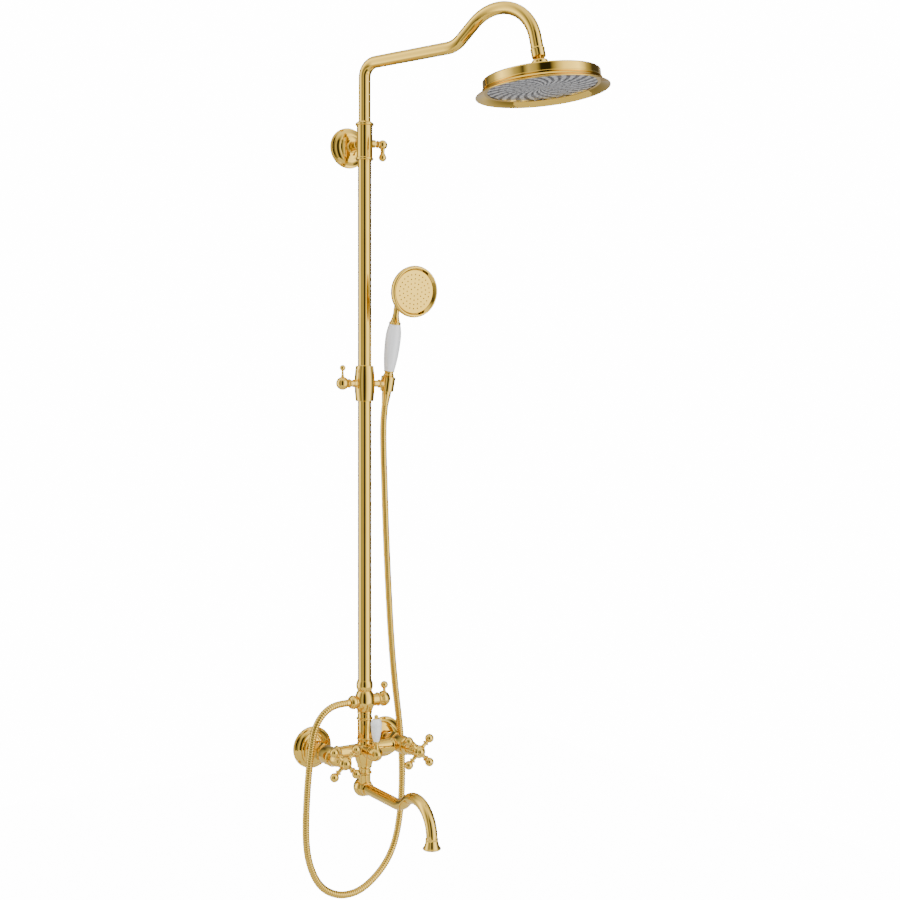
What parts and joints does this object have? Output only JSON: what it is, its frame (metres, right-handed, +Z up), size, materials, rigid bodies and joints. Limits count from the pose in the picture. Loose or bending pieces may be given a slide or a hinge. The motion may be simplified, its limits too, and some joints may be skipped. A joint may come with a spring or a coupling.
{
  "type": "rainfall shower column",
  "caption": "Wall-mounted shower column: cross-handle bath mixer, swivel spout, telescopic riser, rain head and hand shower on a slider.",
  "frame": {"origin": "midway between the two wall inlets, on the finished wall", "axes": "+Z up along the column, -Y out of the wall into the room, +X to the right as seen from the room"},
  "size_m": [0.3825, 0.5459, 1.578],
  "materials": {
    "gold": "polished",
    "raw_brass": "machined",
    "china": "glazed",
    "nozzle_steel": "satin",
    "plate_steel": "plain",
    "seal_rubber": "matte",
    "bearing_plastic": "matte",
    "hose_skin": "spiral wound"
  },
  "bodies": {
    "column": {"bracket_flange": "gold", "bracket_stem": "gold", "bracket_wall_plate": "plate_steel", "column_foot": "gold", "eccentric_union_left": "raw_brass", "eccentric_union_right": "raw_brass", "hose_outlet_nut": "gold", "hose_outlet_sleeve": "gold", "lower_tube": "gold", "mixer_body": "gold", "riser_nut": "gold", "shower_diverter_body": "gold", "shower_hose": "hose_skin", "spout_collar": "gold", "spout_o_rings": "seal_rubber", "spout_pivot_stem": "raw_brass", "top_collar": "gold", "tub_diverter_bonnet": "gold", "union_nuts": "gold", "union_washers": "seal_rubber", "valve_bonnet_left": "gold", "valve_bonnet_right": "gold", "valve_cartridges": "raw_brass", "wall_flange_left": "gold", "wall_flange_right": "gold"},
    "hot_handle": {"valve_spindle_left": "raw_brass", "cross_handle_left": "gold", "handle_cap_left": "gold"},
    "cold_handle": {"valve_spindle_right": "raw_brass", "cross_handle_right": "gold", "handle_cap_right": "gold"},
    "bath_lever": {"tub_diverter_spindle": "raw_brass", "tub_diverter_lever": "gold", "tub_diverter_grip": "china", "tub_diverter_finial": "gold"},
    "spout": {"spout_elbow": "gold", "spout_tube": "gold", "aerator_housing": "gold", "aerator_insert": "bearing_plastic"},
    "shower_knob": {"shower_diverter_spindle": "raw_brass", "shower_diverter_knob": "gold"},
    "riser_carriage": {"riser_guide_ring": "bearing_plastic"},
    "arm": {"riser_arm": "gold", "swivel_ball_stem": "gold"},
    "ball_seat": {"swivel_seat": "bearing_plastic"},
    "rain_head": {"swivel_nut": "gold", "head_shell": "gold", "nozzle_plate": "nozzle_steel"},
    "collar_lock": {"collar_lock_lever": "gold"},
    "slider": {"slider_body": "gold", "slider_bush": "bearing_plastic"},
    "slider_lock": {"slider_lock_knob": "gold"},
    "holder": {"holder_cup": "gold"},
    "handset_seat": {"handset_hose_nut": "gold"},
    "handset": {"handset_tail": "gold", "handset_grip": "china", "handset_neck": "gold", "handset_head": "gold", "handset_face": "gold"}
  },
  "joints": [
    {"name": "hot_valve", "type": "hinge", "parent": "column", "child": "hot_handle", "pos_m": [-0.075, -0.1335, 0], "axis": [0, -1, 0], "range_deg": [-90, 0]},
    {"name": "cold_valve", "type": "hinge", "parent": "column", "child": "cold_handle", "pos_m": [0.075, -0.1335, 0], "axis": [0, -1, 0], "range_deg": [0, 90]},
    {"name": "bath_diverter", "type": "hinge", "parent": "column", "child": "bath_lever", "pos_m": [0, -0.109, 0], "axis": [0, -1, 0], "range_deg": [-45, 45]},
    {"name": "spout_swivel", "type": "hinge", "parent": "column", "child": "spout", "pos_m": [0, -0.065, -0.07], "axis": [0, 0, 1], "range_deg": [-60, 60]},
    {"name": "shower_diverter", "type": "hinge", "parent": "column", "child": "shower_knob", "pos_m": [0.041, -0.065, 0.088], "axis": [1, 0, 0], "range_deg": [-90, 90]},
    {"name": "riser_height", "type": "slide", "parent": "column", "child": "riser_carriage", "axis": [0, 0, 1], "range_m": [-0.06, 0.3]},
    {"name": "arm_swivel", "type": "hinge", "parent": "riser_carriage", "child": "arm", "pos_m": [0, -0.065, 1.25], "axis": [0, 0, 1], "range_deg": [-100, 56]},
    {"name": "head_pitch", "type": "hinge", "parent": "arm", "child": "ball_seat", "pos_m": [0.14127, -0.41466, 1.19694], "axis": [0.9272, 0.3746, 0], "range_deg": [-10, 10]},
    {"name": "head_roll", "type": "hinge", "parent": "ball_seat", "child": "rain_head", "pos_m": [0.14127, -0.41466, 1.19694], "axis": [0.3746, -0.9272, 0], "range_deg": [-10, 10]},
    {"name": "collar_lock_turn", "type": "hinge", "parent": "column", "child": "collar_lock", "pos_m": [0.0375, -0.065, 1.106], "axis": [1, 0, 0], "range_deg": [-60, 90]},
    {"name": "slider_height", "type": "slide", "parent": "column", "child": "slider", "axis": [0, 0, 1], "range_m": [-0.3, 0.2], "deforming": ["shower_hose"]},
    {"name": "slider_lock_turn", "type": "hinge", "parent": "slider", "child": "slider_lock", "pos_m": [-0.045, -0.065, 0.667], "axis": [-1, 0, 0], "range_deg": [-90, 90]},
    {"name": "holder_tilt", "type": "hinge", "parent": "slider", "child": "holder", "pos_m": [0.048, -0.065, 0.667], "axis": [1, 0, 0], "range_deg": [-5, 15]},
    {"name": "handset_lift", "type": "slide", "parent": "holder", "child": "handset_seat", "axis": [0, -0.2419, 0.9703], "range_m": [0, 0.045]},
    {"name": "handset_turn", "type": "hinge", "parent": "handset_seat", "child": "handset", "pos_m": [0.048, -0.065, 0.667], "axis": [0, -0.2419, 0.9703], "range_deg": [-50, 60]}
  ]
}
